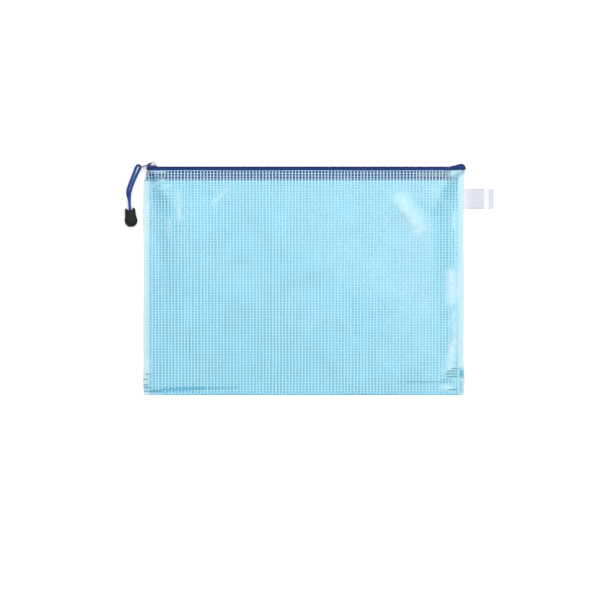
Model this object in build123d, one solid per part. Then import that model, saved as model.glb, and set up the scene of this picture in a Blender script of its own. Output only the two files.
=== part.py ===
"""Zip document wallet, lying flat on its back panel, with the mouth towards +Y. Millimetres.

X runs along the zip, from the parked slider at the left to the tape's end at the right. Z is up, out of the
front panel. The origin is the middle of the back panel's underside.
"""

import math
import os

from build123d import *

# Film bag
bag_width = 335.0
film_height = 235.0
film = 0.35
seam_band = 6.0
seam_gap = 0.3
corner_inset = 2.5
corner_band = 1.0
side_ramp = 30.0
ramp_run = 35.0
tape_ramp = 12.0
corner_ramp = 4.0
ramp_steps = (0.0, 0.25, 0.5, 0.75, 1.0)

# The front's rounded part of the fold covers a quarter turn, and the back's stops short of it by the swing
fold_clear_angle = 28.0

# Zip chain and tape
zip_rise = 4.0
zip_inset = 3.2
chain_shortfall = 19.7
tape = 0.5
tape_skirt = 10.3
tape_bend = 0.4
turn_drop = 0.6
tape_edge = 1.1
mitre_clear = 0.3
coil_height = 1.7
coil_outer = 2.2
coil_spine = 0.9
coil_reach = 0.5
coil_pitch = 1.4
tooth_width = 0.5
filler_radius = 0.3
filler_clear = 0.05

# Stops and the folded tape end
stop_length = 2.0
stop_inset = 0.1
stop_clear = 0.05
stop_height = 1.5
bottom_stop_length = 2.5
end_gap = 0.3
tab_length = 15.4
tab_rise = 3.3
tab_half_depth = 4.1
tab_round = 1.0

# Slider
slider_length = 10.7
slider_width = 7.0
slider_round = 1.2
slider_clear = 0.3
side_clear = 0.4
top_plate = 0.8
top_plate_inset = 0.7
nose_chamfer = 0.5
lower_plate = 1.0
flange = 0.9
wedge_length = 3.3
wedge_half_width = 0.8
wedge_inset = 0.4
bridge_length = 6.6
bridge_height = 3.8
bridge_wall = 0.9
bridge_width = 2.2
bridge_inset = 2.8
bridge_round = 1.8

# Pull: wire link, doubled cord and cap
wire_radius = 0.5
wire_half_width = 2.3
wire_corner = 1.2
wire_reach = 13.0
wire_drop = 5.0
wire_lift = 0.3
wire_inset = 1.3
cord_radius = 1.25
cap_length = 19.4
cap_mouth_width = 9.6
cap_width = 13.0
cap_depth = 7.8
cap_floor_gap = 0.3
cap_tilt = 5.5
cap_sink = 6.0
saddle_radius = 3.6
saddle_depth = 2.4

# Tag in the right seam
label_length = 30.9
label_height = 20.8
label_thickness = 0.25
label_gap = 0.4
label_lift = 0.2
label_drop = 29.5
label_round = 0.6

# Places that follow from those sizes
half_width = bag_width / 2
zip_left = -half_width + zip_inset
chain_length = bag_width - chain_shortfall
film_top = film_height / 2
fold_radius = film + seam_gap / 2
fold_y = -film_height / 2 + fold_radius
seam_top = 2 * fold_radius
chain_z = film + tape + side_clear + slider_width / 2
tape_outer = slider_width / 2 + side_clear + tape
mouth_top = chain_z + tape_outer + film
chain_top = film_top + zip_rise
coil_bottom = chain_top - coil_height
tape_under = coil_bottom - tape
tape_low = film_top - tape_skirt
turn_y = tape_under - tape_bend - turn_drop
zip_right = zip_left + chain_length + bottom_stop_length + end_gap
flat_at_tape = half_width - seam_band - tape_ramp
flat_at_mouth = half_width - corner_inset - corner_band - corner_ramp
slider_right = zip_left + slider_length
plate_under = chain_top + slider_clear
plate_top = plate_under + top_plate
lower_top = tape_under - slider_clear
coil_left = zip_left + wedge_inset + wedge_length + slider_clear
coil_right = zip_left + chain_length
bridge_left = zip_left + bridge_inset
bridge_top = plate_top + bridge_height
bar_x = bridge_left + bridge_wall + wire_inset
bar_y = bridge_top - bridge_wall - wire_lift - wire_radius
eye_x = bar_x - wire_reach
eye_y = bar_y - wire_drop
cap_z = cap_floor_gap + cap_depth / 2


def panel_outline():
    """The film's outline: a rectangle whose top corners are drawn in where the zip thickens the bag."""
    corner = half_width - corner_inset
    points = [
        (-half_width, fold_y),
        (half_width, fold_y),
        (half_width, tape_low),
        (corner, film_top),
        (-corner, film_top),
        (-half_width, tape_low),
    ]
    return make_face(Polyline(*points, close=True))


def fold_lip(start, end):
    """Part of the round bottom fold, as a ring sector along the whole width. Angles run from +Y towards +Z."""
    inner = fold_radius - film
    centre = (fold_y, fold_radius)
    outer_arc = CenterArc(centre, fold_radius, start, end - start)
    inner_arc = CenterArc(centre, inner, start, end - start)
    sides = [Line(inner_arc @ 0, outer_arc @ 0), Line(outer_arc @ 1, inner_arc @ 1)]
    sector = make_face([outer_arc, inner_arc, *sides])
    return extrude(Plane.YZ.offset(-half_width) * sector, amount=bag_width)


def back_panel():
    """The flat film that the wallet lies on, with its share of the bottom fold."""
    return extrude(panel_outline(), amount=film) + fold_lip(180 + fold_clear_angle, 270)


def film_section(y, edge, band, ramp, top):
    """One cut through the front film: flat on the side seams, and raised to top between them."""
    left = [(-edge, seam_top)]
    for step in ramp_steps:
        rise = step * step * (3 - 2 * step)
        left.append((-edge + band + ramp * step, seam_top + (top - seam_top) * rise))
    upper = left + [(-x, z) for x, z in reversed(left)]
    lower = []
    for i, (x, z) in enumerate(upper):
        before = upper[max(i - 1, 0)]
        after = upper[min(i + 1, len(upper) - 1)]
        angles = []
        if i > 0:
            angles.append(math.atan2(z - before[1], x - before[0]))
        if i < len(upper) - 1:
            angles.append(math.atan2(after[1] - z, after[0] - x))
        along = sum(angles) / len(angles)
        mitre = film / math.cos((angles[-1] - angles[0]) / 2)
        lower.append((x + mitre * math.sin(along), z - mitre * math.cos(along)))
    plane = Plane(origin=(0, y, 0), x_dir=(1, 0, 0), z_dir=(0, -1, 0))
    return plane * make_face(Polyline(*upper, *reversed(lower), close=True))


def front_panel():
    """The raised film: welded flat at the sides, and drawn straight from the fold up to the zip tape."""
    ramp_y = tape_low - ramp_run
    ramp_top = seam_top + (mouth_top - seam_top) * (ramp_y - fold_y) / (tape_low - fold_y)
    corner = half_width - corner_inset
    sections = [
        film_section(fold_y, half_width, seam_band, side_ramp, seam_top),
        film_section(ramp_y, half_width, seam_band, side_ramp, ramp_top),
        film_section(tape_low, half_width, seam_band, tape_ramp, mouth_top),
        film_section(film_top, corner, corner_band, corner_ramp, mouth_top),
    ]
    return loft(sections, ruled=True) + fold_lip(90, 180)


def tape_turn(side):
    """The edge of one tape half, level under the coil and bent down towards its panel. Side is 1 at the front."""
    inner_face = tape_outer - tape
    profile = FilletPolyline(
        (coil_bottom, chain_z + side * tape_edge),
        (coil_bottom, chain_z + side * tape_outer),
        (turn_y, chain_z + side * tape_outer),
        (turn_y, chain_z + side * inner_face),
        (tape_under, chain_z + side * inner_face),
        (tape_under, chain_z + side * tape_edge),
        radius=[0, tape_bend + tape, 0, 0, tape_bend, 0],
        close=True,
    )
    return extrude(Plane.YZ.offset(zip_left) * make_face(profile), amount=zip_right - zip_left)


def zip_tape(side):
    """The flat of one tape half, from its bend down inside its panel, with its ends cut to the film's slope."""
    low_z = chain_z + side * (tape_outer - tape / 2) - tape / 2
    flat = Box(zip_right - zip_left, turn_y - tape_low, tape, align=(Align.MIN, Align.MIN, Align.MIN))
    flat = Pos(zip_left, tape_low, low_z) * flat
    slope = (flat_at_mouth - flat_at_tape) / (film_top - tape_low)
    reach_above = flat_at_mouth + slope * mitre_clear - mitre_clear
    reach_low = flat_at_tape - mitre_clear
    for end in (-1, 1):
        corners = [
            (end * reach_above, film_top + mitre_clear),
            (end * half_width, film_top + mitre_clear),
            (end * half_width, tape_low),
            (end * reach_low, tape_low),
        ]
        flat -= extrude(make_face(Polyline(*corners, close=True)), amount=mouth_top)
    return flat


def zip_coil(side):
    """Half of the nylon coil as a comb: a spine on the tape, with teeth that reach past the chain's middle."""
    shift = 0.25 if side < 0 else 0.75
    count = int((coil_right - coil_left) / coil_pitch)
    edge = []
    for i in range(count):
        middle = coil_left + coil_pitch * (i + shift)
        first = middle - tooth_width / 2
        last = middle + tooth_width / 2
        edge += [(first, coil_spine), (first, -coil_reach), (last, -coil_reach), (last, coil_spine)]
    outline = [(coil_left, coil_outer), (coil_left, coil_spine), *edge]
    outline += [(coil_right, coil_spine), (coil_right, coil_outer)]
    points = [(x, chain_z + side * offset) for x, offset in outline]
    plane = Plane(origin=(0, coil_bottom, 0), x_dir=(1, 0, 0), z_dir=(0, -1, 0))
    comb = extrude(plane * make_face(Polyline(*points, close=True)), amount=-coil_height)
    return comb - filler_cord(side, filler_radius + filler_clear)


def filler_cord(side, radius):
    """The round cord that the coil is wound round."""
    middle = chain_z + side * (coil_outer + coil_spine) / 2
    plane = Plane(origin=(coil_left, coil_bottom + coil_height / 2, middle), z_dir=(1, 0, 0))
    return extrude(plane * Circle(radius), amount=coil_right - coil_left)


def top_stop(side):
    """A small block on the tape's end, in the slider's own channel."""
    inner = tape_edge + stop_clear
    outer = coil_outer + stop_clear
    block = Box(stop_length, stop_height, outer - inner, align=(Align.MIN, Align.MIN, Align.CENTER))
    return Pos(zip_left + stop_inset, coil_bottom, chain_z + side * (inner + outer) / 2) * block


def bottom_stop():
    """The block across both coils that ends the slider's travel."""
    block = Box(
        bottom_stop_length - end_gap,
        coil_height,
        2 * coil_outer,
        align=(Align.MIN, Align.MIN, Align.CENTER),
    )
    return Pos(coil_right + end_gap, coil_bottom, chain_z) * block


def zip_end_tab():
    """The tape's folded end, which stands up as a rounded lump past the bottom stop."""
    left = zip_right + end_gap
    right = left + tab_length
    bottom = film_top + end_gap
    top = chain_top + tab_rise
    outline = FilletPolyline(
        (left, bottom),
        (right, bottom),
        (right, top - tab_rise),
        (right - tab_rise, top),
        (right - 2 * tab_rise, top),
        (left, chain_top),
        radius=[0, tab_rise / 2, tab_rise / 2, tab_rise / 2, tab_rise, 0],
        close=True,
    )
    lump = extrude(make_face(outline), amount=2 * tab_half_depth)
    lump = Pos(0, 0, chain_z - tab_half_depth) * lump
    level = lump.faces().filter_by(Axis.Z)
    return fillet(level.edges().filter_by(lambda e: e.center().X > left + tab_round), tab_round)


def slider_body():
    """Two plates joined by a wedge, with side flanges that hold the coils and leave slots for the tape."""
    middle_x = (zip_left + slider_right) / 2
    top_length = slider_length - top_plate_inset
    top_x = slider_right - top_length / 2
    flange_low = coil_bottom + slider_clear
    lower_plane = Plane(origin=(middle_x, lower_top, chain_z), x_dir=(1, 0, 0), z_dir=(0, -1, 0))
    upper_plane = Plane(origin=(top_x, plate_under, chain_z), x_dir=(1, 0, 0), z_dir=(0, -1, 0))
    lower = extrude(
        lower_plane * RectangleRounded(slider_length, slider_width, slider_round), amount=lower_plate
    )
    plan = RectangleRounded(top_length, slider_width, slider_round)
    upper = extrude(upper_plane * plan, amount=-top_plate)
    nose = upper.faces().sort_by(Axis.Y)[-1].edges().sort_by(Axis.X)[0]
    upper = chamfer(nose, nose_chamfer)
    channel = Rectangle(top_length + 1, slider_width - 2 * flange)
    flanges = extrude(upper_plane * (plan - channel), amount=plate_under - flange_low)
    wedge_left = zip_left + wedge_inset
    wedge_points = [
        (wedge_left, chain_z),
        (wedge_left + wedge_half_width, chain_z - wedge_half_width),
        (wedge_left + wedge_length, chain_z),
        (wedge_left + wedge_half_width, chain_z + wedge_half_width),
    ]
    wedge_plane = Plane(origin=(0, lower_top, 0), x_dir=(1, 0, 0), z_dir=(0, -1, 0))
    wedge_face = wedge_plane * make_face(Polyline(*wedge_points, close=True))
    wedge = extrude(wedge_face, amount=lower_top - plate_under)
    return lower + upper + flanges + wedge


def slider_bridge():
    """The arch on the slider's top plate that the wire link hangs in."""
    base = (Align.MIN, Align.MIN)
    outer = Rectangle(bridge_length, bridge_height, align=base)
    outer = fillet(outer.vertices().group_by(Axis.Y)[-1], bridge_round)
    hole = Rectangle(bridge_length - 2 * bridge_wall, bridge_height - bridge_wall, align=base)
    hole = fillet(hole.vertices().group_by(Axis.Y)[-1], bridge_round - bridge_wall)
    arch = extrude(outer - Pos(bridge_wall, 0) * hole, amount=bridge_width)
    return Pos(bridge_left, plate_top, chain_z - bridge_width / 2) * arch


def pull_wire():
    """A closed wire link: one end bar in the bridge, the other in the cord's loop, with its legs above and below."""
    reach = math.hypot(wire_reach, wire_drop)
    middle = ((bar_x + eye_x) / 2, (bar_y + eye_y) / 2, chain_z)
    towards_eye = (-wire_reach, -wire_drop, 0)
    plane = Plane(origin=middle, x_dir=towards_eye, z_dir=(wire_drop, -wire_reach, 0))
    path = (plane * RectangleRounded(reach, 2 * wire_half_width, wire_corner)).wire()
    section = Plane(origin=path @ 0, z_dir=path % 0) * Circle(wire_radius)
    link = sweep(section, path)
    print(f"wire link: {link.volume / (math.pi * wire_radius**2):.1f} mm by volume, path {path.length:.1f} mm")
    return link


def cord_route():
    """The doubled cord: from inside the cap up one strand, round the wire's end bar and back down the other.
    Places along X and Y are from the bar, and heights are above the table."""
    chosen = [
        (-8.90, -47.80, 3.0),
        (-9.40, -42.60, 2.9),
        (-10.10, -33.40, 2.4),
        (-11.10, -23.20, 2.3),
        (-7.60, -11.60, 3.3),
        (-4.60, -4.40, 4.2),
        (-1.90, 3.90, chain_z),
        (2.90, 2.05, chain_z),
        (-0.25, -5.45, 4.5),
        (-4.10, -12.40, 4.6),
        (-8.35, -22.60, 5.0),
        (-9.85, -33.30, 5.3),
        (-9.30, -42.40, 5.55),
        (-8.80, -47.60, 5.6),
    ]
    return [Vector(eye_x + x, eye_y + y, z) for x, y, z in chosen]


def pull_cord():
    """One round cord, bent back on itself through the wire link."""
    points = cord_route()
    radii = []
    for before, here, after in zip(points, points[1:], points[2:]):
        turn = math.radians((here - before).get_angle(after - here))
        shorter = min((here - before).length, (after - here).length)
        radii.append(0.45 * shorter / math.tan(turn / 2))
    print("cord radii:", " ".join(f"{radius:.1f}" for radius in radii))
    path = FilletPolyline(*points, radius=radii)
    cord = sweep(Plane(origin=path @ 0, z_dir=path % 0) * Circle(cord_radius), path.wire())
    by_volume = cord.volume / (math.pi * cord_radius**2)
    print(f"cord: {path.length:.1f} mm, {by_volume:.1f} mm by volume")
    return cord


def pull_cap(cord):
    """The moulded cap on the cord's two ends: wider towards its round tip, with a saddle cut across its mouth."""
    first = cord_route()[0]
    last = cord_route()[-1]
    tilt = math.radians(cap_tilt)
    axis = Vector(math.sin(tilt), -math.cos(tilt), 0)
    ends = (first + last) / 2
    mouth = Vector(ends.X, ends.Y, cap_z) - axis * cap_sink
    plane = Plane(origin=mouth, x_dir=(math.cos(tilt), math.sin(tilt), 0), z_dir=axis)
    # Each station along the cap: share of its length, share of its width, share of its depth
    mouth_share = cap_mouth_width / cap_width
    stations = [
        (0.0, mouth_share, 0.8),
        (0.2, 0.86, 0.92),
        (0.5, 0.95, 1.0),
        (0.76, 1.0, 0.98),
        (0.9, 0.8, 0.76),
        (1.0, 0.4, 0.36),
    ]
    sections = []
    for along, wide, deep in stations:
        level = plane.offset(along * cap_length)
        sections.append(level * Ellipse(wide * cap_width / 2, deep * cap_depth / 2))
    cap = loft(sections)
    across = Plane(origin=mouth - axis * (saddle_radius - saddle_depth), z_dir=(0, 0, 1))
    cap -= extrude(across * Circle(saddle_radius), amount=cap_depth, both=True)
    return cap - cord


def label_tab():
    """The plain tag that stands out of the right seam."""
    tag = extrude(RectangleRounded(label_length, label_height, label_round), amount=label_thickness)
    return Pos(half_width + label_gap + label_length / 2, film_top - label_drop, label_lift) * tag


cord = pull_cord()
pieces = {
    "back_panel": back_panel(),
    "front_panel": front_panel(),
    "back_zip_tape": zip_tape(-1),
    "front_zip_tape": zip_tape(1),
    "back_tape_turn": tape_turn(-1),
    "front_tape_turn": tape_turn(1),
    "back_zip_coil": zip_coil(-1),
    "front_zip_coil": zip_coil(1),
    "back_filler_cord": filler_cord(-1, filler_radius),
    "front_filler_cord": filler_cord(1, filler_radius),
    "back_top_stop": top_stop(-1),
    "front_top_stop": top_stop(1),
    "bottom_stop": bottom_stop(),
    "zip_end_tab": zip_end_tab(),
    "slider_body": slider_body(),
    "slider_bridge": slider_bridge(),
    "pull_wire": pull_wire(),
    "pull_cord": cord,
    "pull_cap": pull_cap(cord),
    "label_tab": label_tab(),
}

os.makedirs("parts", exist_ok=True)
for name, solid in pieces.items():
    export_step(solid, f"parts/{name}.step")
print(f"fold axis y {fold_y:.2f} z {fold_radius:.2f}; chain z {chain_z:.2f}; mouth top {mouth_top:.2f}")
print(f"bar {bar_x:.2f} {bar_y:.2f}; eye {eye_x:.2f} {eye_y:.2f}; slider right {slider_right:.2f}")
print(f"slider travel {coil_right - slider_right:.2f}; label hinge x {half_width + label_gap:.2f}")
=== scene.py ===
"""A zip document wallet of blue mesh film, lying flat, dressed for a straight-down view. Metres, +Z up.

The sections follow the wallet as it is put together: film bag, yarn mesh, zip, slider, pull and tag.
"""

import math

import bmesh
import bpy
import numpy as np
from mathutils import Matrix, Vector


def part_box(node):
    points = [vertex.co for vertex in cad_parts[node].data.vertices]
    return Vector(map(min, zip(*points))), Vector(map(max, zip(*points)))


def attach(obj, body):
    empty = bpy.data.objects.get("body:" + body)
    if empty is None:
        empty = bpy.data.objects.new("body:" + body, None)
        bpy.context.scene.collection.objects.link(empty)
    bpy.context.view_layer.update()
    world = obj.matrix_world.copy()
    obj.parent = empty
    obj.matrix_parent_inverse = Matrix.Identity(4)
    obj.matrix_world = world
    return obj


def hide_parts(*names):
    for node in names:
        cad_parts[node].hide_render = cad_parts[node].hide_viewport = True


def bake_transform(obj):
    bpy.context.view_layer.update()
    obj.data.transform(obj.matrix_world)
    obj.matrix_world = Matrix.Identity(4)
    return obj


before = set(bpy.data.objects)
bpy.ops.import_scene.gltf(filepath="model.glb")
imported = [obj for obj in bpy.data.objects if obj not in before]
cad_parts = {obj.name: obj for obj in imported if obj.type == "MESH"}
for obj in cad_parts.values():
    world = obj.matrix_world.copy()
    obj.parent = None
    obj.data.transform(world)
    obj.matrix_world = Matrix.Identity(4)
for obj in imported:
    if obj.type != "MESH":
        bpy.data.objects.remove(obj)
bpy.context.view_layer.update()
mm = 0.001


# Camera: straight above the table, as in the photograph, with the wallet in the upper half of a square frame.
# The lens is long, so that the raised zip is seen at the same scale as the table.
view_width = 628.2 * mm
view_middle = (-3.87 * mm, -18 * mm)
camera_height = 2.5
sensor_width = 36.0


def placed(name, data):
    """A new object in the scene, holding this data."""
    thing = bpy.data.objects.new(name, data)
    bpy.context.scene.collection.objects.link(thing)
    return thing


camera_data = bpy.data.cameras.new("straight_down")
camera_data.sensor_width = sensor_width
camera_data.lens = sensor_width * camera_height / view_width
camera = placed("straight_down", camera_data)
camera.location = (*view_middle, camera_height)
bpy.context.scene.camera = camera


# Table and light: a white table top under a bright room, with two large soft lamps above the zip's ends and
# two small ones over the sides. What the camera sees of the table is lifted to white, and the wallet's soft
# shadow stays on it.
table_reach = 4.0
table_gap = 0.2 * mm
table_colour = (0.86, 0.86, 0.86, 1)
table_lift = 0.35
room_light = 0.60
# Lamps: place, width, length and power
lamps = {
    "right_lamp": ((0.75, 0.75, 1.5), 0.9, 0.9, 11.4),
    "left_lamp": ((-0.85, 0.55, 1.5), 0.9, 0.9, 7.5),
    "right_strip": ((0.29, 0.06, 1.5), 0.24, 0.50, 2.6),
    "left_spot": ((-0.215, 0.10, 1.5), 0.14, 0.14, 0.5),
}


def add_piece(name, vertices, faces):
    """A new piece at the origin, made of these vertices and faces, with smooth shading."""
    mesh = bpy.data.meshes.new(name)
    mesh.from_pydata([tuple(v) for v in vertices], [], [tuple(f) for f in faces])
    mesh.update()
    mesh.shade_smooth()
    return placed(name, mesh)


def add_node(tree, kind, inputs=(), **settings):
    """A node with its settings, and its inputs set to a value or linked from a socket."""
    node = tree.nodes.new(kind)
    for name, value in settings.items():
        setattr(node, name, value)
    for key, value in dict(inputs).items():
        if isinstance(value, bpy.types.NodeSocket):
            tree.links.new(value, node.inputs[key])
        else:
            node.inputs[key].default_value = value
    return node


def flow(tree, kind, inputs=(), **settings):
    """What comes out of a new node, at its first output."""
    return add_node(tree, kind, inputs, **settings).outputs[0]


def calc(tree, operation, *values, **settings):
    """The result of one sum on values and sockets."""
    return flow(tree, "ShaderNodeMath", dict(enumerate(values)), operation=operation, **settings)


def step_over(tree, value, start, end, low=0.0, high=1.0):
    """A level that goes from low to high while a value goes from start to end."""
    ends = {"Value": value, "From Min": start, "From Max": end, "To Min": low, "To Max": high}
    return flow(tree, "ShaderNodeMapRange", ends)


def bare_tree(owner):
    """The node tree of a material or a world, emptied."""
    owner.use_nodes = True
    owner.node_tree.nodes.clear()
    return owner.node_tree


def seen_rays(tree):
    """A value of 1 for the rays that show the surroundings: straight, mirrored or through something clear."""
    path = add_node(tree, "ShaderNodeLightPath").outputs
    mirrored = calc(tree, "MAXIMUM", path["Is Camera Ray"], path["Is Glossy Ray"])
    return calc(tree, "MAXIMUM", mirrored, path["Is Transmission Ray"])


table_corners = [(-1, -1), (1, -1), (1, 1), (-1, 1)]
table_top = add_piece(
    "table_top",
    [(x * table_reach, y * table_reach, -table_gap) for x, y in table_corners],
    [(0, 1, 2, 3)],
)
table_finish = bpy.data.materials.new("white_table")
tree = bare_tree(table_finish)
matt = flow(tree, "ShaderNodeBsdfDiffuse", {"Color": table_colour})
glow = flow(tree, "ShaderNodeEmission", {"Strength": calc(tree, "MULTIPLY", seen_rays(tree), table_lift)})
both = flow(tree, "ShaderNodeAddShader", {0: matt, 1: glow})
add_node(tree, "ShaderNodeOutputMaterial", {"Surface": both})
table_top.data.materials.append(table_finish)

world = bpy.data.worlds.new("bright_room")
bpy.context.scene.world = world
tree = bare_tree(world)
level = step_over(tree, seen_rays(tree), 0.0, 1.0, room_light, 1.0)
room = flow(tree, "ShaderNodeBackground", {"Strength": level})
add_node(tree, "ShaderNodeOutputWorld", {"Surface": room})

for name, (place, width, length, power) in lamps.items():
    lamp_data = bpy.data.lights.new(name, "AREA")
    lamp_data.shape = "RECTANGLE"
    lamp_data.size = width
    lamp_data.size_y = length
    lamp_data.energy = power
    lamp = placed(name, lamp_data)
    lamp.location = place
    lamp.rotation_mode = "QUATERNION"
    lamp.rotation_quaternion = (-Vector(place)).to_track_quat("-Z", "Y")

bpy.context.scene.view_settings.view_transform = "Standard"


# Film bag: clear blue vinyl film with a gloss face, cut as one sheet, turned up at the bottom fold and welded
# along both sides. The back half lies on the table, and the front half rises from the fold to the zip's tape.
film = 0.3 * mm
fold_radius = 0.5 * mm
seam_top = 2 * fold_radius
front_low, front_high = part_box("front_panel")
half_width = front_high.x
film_top = front_high.y
mouth_top = front_high.z
fold_y = front_low.y + fold_radius
tape_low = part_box("back_zip_tape")[0].y
tape_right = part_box("back_tape_turn")[1].x
left_inset = 2.8 * mm
right_flare = 1.7 * mm
uneven = 0.25 * mm
uneven_length = 19 * mm
edge_bulge = 0.9 * mm
bulge_y = -101 * mm
bulge_reach = 9 * mm
seam_band = 6 * mm
corner_band = 1 * mm
side_ramp = 30 * mm
ramp_run = 35 * mm
tape_ramp = 12 * mm
corner_ramp = 4 * mm
wave_height = 0.45 * mm
wave_lengths = (23 * mm, 31 * mm, 27 * mm)
flat_share = 0.15
still_run = 20 * mm
front_fold_end = 195
back_fold_start = 210
grid_step = 1.5 * mm
flat_step = 4 * mm
fine_step = 0.4 * mm
fine_top = -84 * mm
side_start = 8 * mm / half_width
parting_x = 1.7 * mm
weld_blur = 0.4 * mm
tape_end_blur = 0.5 * mm
tape_line = (tape_low - 1 * mm, tape_low + 0.6 * mm)
film_colour = (0.18, 0.66, 0.89)
film_alpha = 0.58
# The film's other zones: colour and opacity. The milky film is a pale painted highlight, and the pressed and
# creased films are dark painted shade
welded_film = (0.74, 0.97, 1.00, 1), 0.62
film_on_tape = (0.01, 0.08, 0.16, 1), 0.06
painted_highlight_film = (0.60, 0.90, 1.00, 1), 0.92
pressed_shade_film = (0.09, 0.49, 0.69, 1), 0.66
crease_shade_film = (0.05, 0.30, 0.42, 1), 0.80
weld_roughness = 0.45
narrow = 0.8
# Creases: both ends in millimetres, then the half-width and height of the ridge. The narrow ones are also
# painted dark along their lines as shade
creases = [
    ((-165, -95.5), (-159, -95.5), 0.7, 0.35),
    ((-167, -100.8), (-162, -100.8), 0.7, 0.35),
    ((-163, -104), (-156, -104), 0.7, 0.35),
    ((-167, -106.6), (-163, -106.6), 0.7, 0.35),
    ((-167, -113.4), (-150, -113), 0.7, 0.35),
    ((98, -103.6), (157, -103.6), 0.7, 0.35),
    ((155, -89.5), (162.5, -89.5), 0.7, 0.35),
    ((150, -92.2), (160, -92.2), 0.7, 0.35),
    ((148.5, -95), (160.5, -95), 0.7, 0.35),
    ((150, -97.9), (160.5, -97.9), 0.7, 0.35),
    ((143, -101), (155, -101), 0.7, 0.35),
    ((152, -111.7), (160, -111.7), 0.7, 0.3),
    ((84, 98), (130, 54), 9, 0.7),
    ((112, 98), (138, 76), 6, 0.7),
    ((-154, 101), (-140, 86), 3.5, 0.7),
    ((-104, 99), (-92, 94), 3, 0.5),
    ((154, -18), (157, -85), 5, 0.25),
    ((-158, 40), (-150, -20), 5, 0.4),
]
# Patches where the yarns are pressed into the film and the film is painted dark as shade, and milky patches
# of pale painted highlight, where the yarns sink under the film: both ends in millimetres, half-width and
# strength
pressed_shade_patches = [
    ((-160, -112.6), (-132, -111.4), 2.7, 1),
    ((-132, -111.4), (-104, -110.4), 2.8, 1),
    ((-104, -110.4), (-70, -109.4), 2.4, 0.75),
    ((-166, -109.6), (-161.5, -109.6), 1.6, 1),
    ((165, -93), (165, -97), 3.6, 1),
    ((164, -104), (164, -114), 2.6, 0.6),
    ((-163, 109.6), (-150, 109.6), 0.9, 0.7),
    ((-150, 104.6), (-120, 105), 0.9, 0.5),
]
# Milky patches: pale painted highlights on the front film, under which the yarns also sink
painted_highlights = [
    ((101, 88), (121, 55), 11, 0.85),
    ((96, 99), (118, 88), 4, 0.4),
    ((88, 95), (100, 86), 5, 0.35),
    ((134, 98), (152, 80), 4, 0.4),
    ((157, 72), (157, 58), 3, 0.8),
    ((84, 48), (114, 32), 5, 0.32),
    ((106, 24), (128, 0), 4, 0.3),
    ((116, -70), (120, 40), 36, 0.22),
    ((154.5, 9), (155, -18), 8.5, 0.95),
    ((157, -30), (158, -60), 4.6, 0.7),
    ((157, -64), (153, -88), 6, 0.95),
    ((147, -92), (155, -97), 5, 0.7),
    ((146, -109), (155, -110), 4, 0.9),
    ((153, 114), (166, 112), 6, 0.6),
    ((120, 113), (150, 114), 3, 0.3),
    ((-157.5, 101.8), (-147, 107), 2.4, 0.9),
    ((-151, 98.4), (-140, 101), 2, 0.85),
    ((-131, 93), (-129.5, 66), 3.4, 0.75),
    ((-94, 84), (-80, 98), 3.2, 0.65),
    ((-163, 116.2), (-144, 116.2), 1.2, 0.95),
    ((-164, 82), (-165.5, 44), 3.6, 0.8),
    ((-141, 66), (-141, 52), 2.8, 0.7),
    ((-163, -82), (-163, -92), 3, 0.6),
    ((-163, -116), (-148, -116), 1.3, 0.8),
]


def from_line(x, y, start, end):
    """How far along a drawn line a place lies, from 0 to 1, and the square of its distance from the line."""
    along = np.array([end[0] - start[0], end[1] - start[1]]) * mm
    x, y = x - start[0] * mm, y - start[1] * mm
    share = (x * along[0] + y * along[1]) / (along @ along)
    on = np.clip(share, 0, 1)
    return share, (x - on * along[0]) ** 2 + (y - on * along[1]) ** 2


def patches(x, y, listed):
    """How strongly the listed patches are felt at a place, from 0 to 1."""
    felt = np.zeros(np.broadcast(x, y).shape)
    for start, end, width, strength in listed:
        away = from_line(x, y, start, end)[1]
        felt = np.maximum(felt, strength * np.exp(-away / (width * mm) ** 2))
    return felt


def drawn_in(y):
    """How far up the tape a height is, from 0 at the tape's lower edge to 1 at the film's top."""
    return np.clip((y - tape_low) / (film_top - tape_low), 0, 1)


def film_edge(y, side):
    """How far the film reaches from the middle at a height, on the left (-1) or the right (1)."""
    drawn = drawn_in(y)
    sway = uneven * np.sin(y / uneven_length + 2 * side) * (1 - drawn)
    bulge = edge_bulge * np.exp(-(((y - bulge_y) / bulge_reach) ** 2))
    return half_width + np.where(side < 0, -left_inset, right_flare) * drawn + sway + bulge


def front_lift(x, y):
    """Height of the front film's face: on the side welds, rising to the zip, with soft waves and creases."""
    drawn = drawn_in(y)
    narrowed = np.clip((y - tape_low + ramp_run) / ramp_run, 0, 1)
    band = seam_band + (corner_band - seam_band) * drawn
    ramp = side_ramp + (tape_ramp - side_ramp) * narrowed + (corner_ramp - tape_ramp) * drawn
    inward = np.clip((film_edge(y, np.sign(x)) - band - np.abs(x)) / ramp, 0, 1)
    smooth = inward * inward * (3 - 2 * inward)
    share = np.clip((y - fold_y) / (tape_low - fold_y), 0, 1)
    lift = seam_top + (mouth_top - seam_top) * share * smooth
    free = smooth * np.clip(share / flat_share, 0, 1) * np.clip((tape_low - y) / still_run, 0, 1)
    across, bend, up = wave_lengths
    wave = np.sin(x / across + 1.3 * np.sin(y / bend)) * np.sin(y / up + 0.9)
    lift = lift + wave_height * wave * free
    for start, end, width, height in creases:
        t, away = from_line(x, y, start, end)
        fade = np.sin(np.pi * np.clip(t * 0.9 + 0.05, 0.02, 0.98)) ** 0.7
        lift = lift + height * mm * np.exp(-away / (width * mm) ** 2) * fade
    return lift


def point_row(x, y, z):
    """A row of points, where each place may be one number for all of them."""
    return np.stack(np.broadcast_arrays(x, y, z), 1)


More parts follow.
